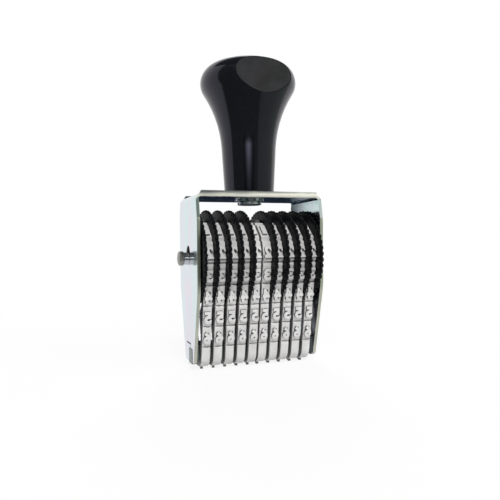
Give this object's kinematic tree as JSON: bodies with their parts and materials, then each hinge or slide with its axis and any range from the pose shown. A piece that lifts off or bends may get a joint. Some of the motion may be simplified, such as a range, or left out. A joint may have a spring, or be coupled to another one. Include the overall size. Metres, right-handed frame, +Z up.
{
  "type": "hand number stamp",
  "caption": "Hand stamp with a knob handle on a bent steel frame; rubber number bands run between serrated thumbwheels on an axle and a platen bar at the foot.",
  "frame": {"origin": "in the print plane under the middle of the stamp", "axes": "+X along the axle to the right, +Y to the back, +Z up to the handle"},
  "size_m": [0.0384, 0.0244, 0.0786],
  "materials": {
    "zinc_plated_sheet": "bright zinc plating with a blue clear passivate",
    "black_handle_plastic": "moulded and polished",
    "brass_insert": "turned",
    "zinc_plated_screw": "zinc plated",
    "bright_axle_steel": "drawn bright",
    "dull_cap_metal": "dull grey",
    "platen_steel": "plated, greenish grey",
    "pale_grey_rubber": "moulded, matt",
    "black_wheel_plastic": "moulded, satin"
  },
  "bodies": {
    "stamp_body": {"frame": "zinc_plated_sheet", "handle": "black_handle_plastic", "handle_insert": "brass_insert", "handle_screw": "zinc_plated_screw", "lock_washer": "zinc_plated_screw", "axle": "bright_axle_steel", "axle_cap_left": "dull_cap_metal", "axle_cap_right": "dull_cap_metal", "platen": "platen_steel", "band_1": "pale_grey_rubber", "band_2": "pale_grey_rubber", "band_3": "pale_grey_rubber", "band_4": "pale_grey_rubber", "band_5": "pale_grey_rubber", "band_6": "pale_grey_rubber", "band_7": "pale_grey_rubber", "band_8": "pale_grey_rubber", "band_9": "pale_grey_rubber", "band_10": "pale_grey_rubber"},
    "wheel_1": {"thumbwheel_1": "black_wheel_plastic"},
    "wheel_2": {"thumbwheel_2": "black_wheel_plastic"},
    "wheel_3": {"thumbwheel_3": "black_wheel_plastic"},
    "wheel_4": {"thumbwheel_4": "black_wheel_plastic"},
    "wheel_5": {"thumbwheel_5": "black_wheel_plastic"},
    "wheel_6": {"thumbwheel_6": "black_wheel_plastic"},
    "wheel_7": {"thumbwheel_7": "black_wheel_plastic"},
    "wheel_8": {"thumbwheel_8": "black_wheel_plastic"},
    "wheel_9": {"thumbwheel_9": "black_wheel_plastic"},
    "wheel_10": {"thumbwheel_10": "black_wheel_plastic"}
  },
  "joints": [
    {"name": "turn_1", "type": "hinge", "parent": "stamp_body", "child": "wheel_1", "pos_m": [-0.01345, 0, 0.0276], "axis": [1, 0, 0], "continuous": true},
    {"name": "turn_2", "type": "hinge", "parent": "stamp_body", "child": "wheel_2", "pos_m": [-0.01042, 0, 0.0276], "axis": [1, 0, 0], "continuous": true},
    {"name": "turn_3", "type": "hinge", "parent": "stamp_body", "child": "wheel_3", "pos_m": [-0.00739, 0, 0.0276], "axis": [1, 0, 0], "continuous": true},
    {"name": "turn_4", "type": "hinge", "parent": "stamp_body", "child": "wheel_4", "pos_m": [-0.00436, 0, 0.0276], "axis": [1, 0, 0], "continuous": true},
    {"name": "turn_5", "type": "hinge", "parent": "stamp_body", "child": "wheel_5", "pos_m": [-0.00133, 0, 0.0276], "axis": [1, 0, 0], "continuous": true},
    {"name": "turn_6", "type": "hinge", "parent": "stamp_body", "child": "wheel_6", "pos_m": [0.00133, 0, 0.0276], "axis": [1, 0, 0], "continuous": true},
    {"name": "turn_7", "type": "hinge", "parent": "stamp_body", "child": "wheel_7", "pos_m": [0.00436, 0, 0.0276], "axis": [1, 0, 0], "continuous": true},
    {"name": "turn_8", "type": "hinge", "parent": "stamp_body", "child": "wheel_8", "pos_m": [0.00739, 0, 0.0276], "axis": [1, 0, 0], "continuous": true},
    {"name": "turn_9", "type": "hinge", "parent": "stamp_body", "child": "wheel_9", "pos_m": [0.01042, 0, 0.0276], "axis": [1, 0, 0], "continuous": true},
    {"name": "turn_10", "type": "hinge", "parent": "stamp_body", "child": "wheel_10", "pos_m": [0.01345, 0, 0.0276], "axis": [1, 0, 0], "continuous": true}
  ]
}
